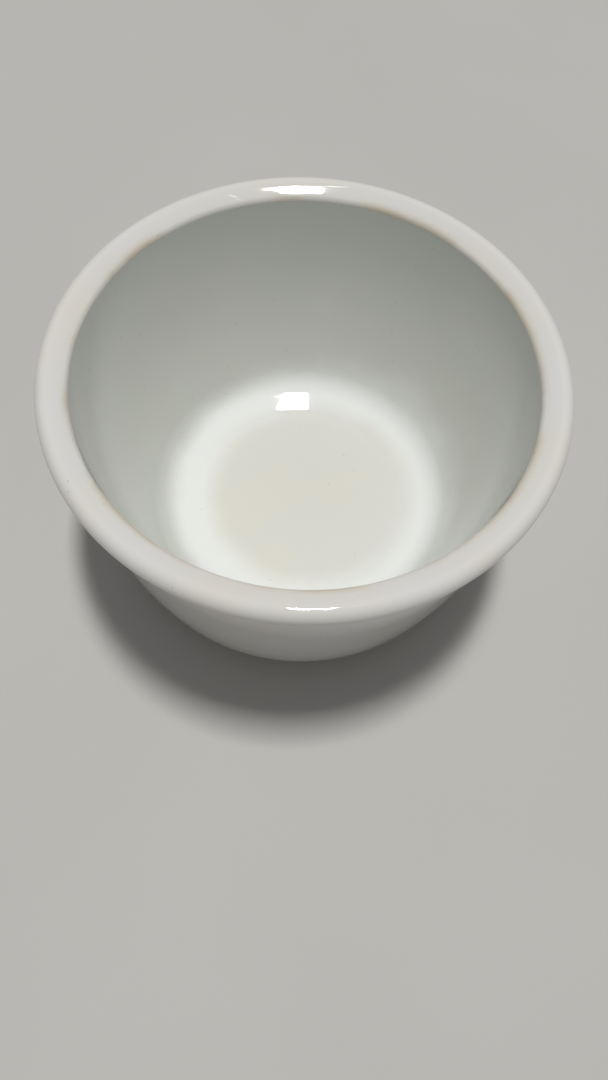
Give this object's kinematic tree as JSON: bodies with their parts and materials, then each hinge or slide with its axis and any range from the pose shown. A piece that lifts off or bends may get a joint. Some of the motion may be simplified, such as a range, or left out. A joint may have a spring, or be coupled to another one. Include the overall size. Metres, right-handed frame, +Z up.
{
  "type": "porcelain crucible",
  "caption": "Wide, open porcelain crucible with a rolled lip, a bowl-like wall that ends in a dished floor, and a bare flat foot.",
  "frame": {"origin": "centre of the flat foot, on the face that the crucible stands on", "axes": "+Z is up the axis of the cup, out of its mouth; X and Y are alike, because it is a body of revolution"},
  "size_m": [0.054, 0.054, 0.03],
  "materials": {
    "fired_porcelain": "bare fired porcelain, fine grained and matt, off-white",
    "inside_glaze": "clear glossy feldspar glaze over white porcelain, faintly grey-green where it is thick",
    "outside_glaze": "clear glossy feldspar glaze over white porcelain, with a slightly rippled surface"
  },
  "bodies": {
    "root": {"porcelain_body": "fired_porcelain", "inside_glaze": "inside_glaze", "outside_glaze": "outside_glaze"}
  },
  "joints": []
}
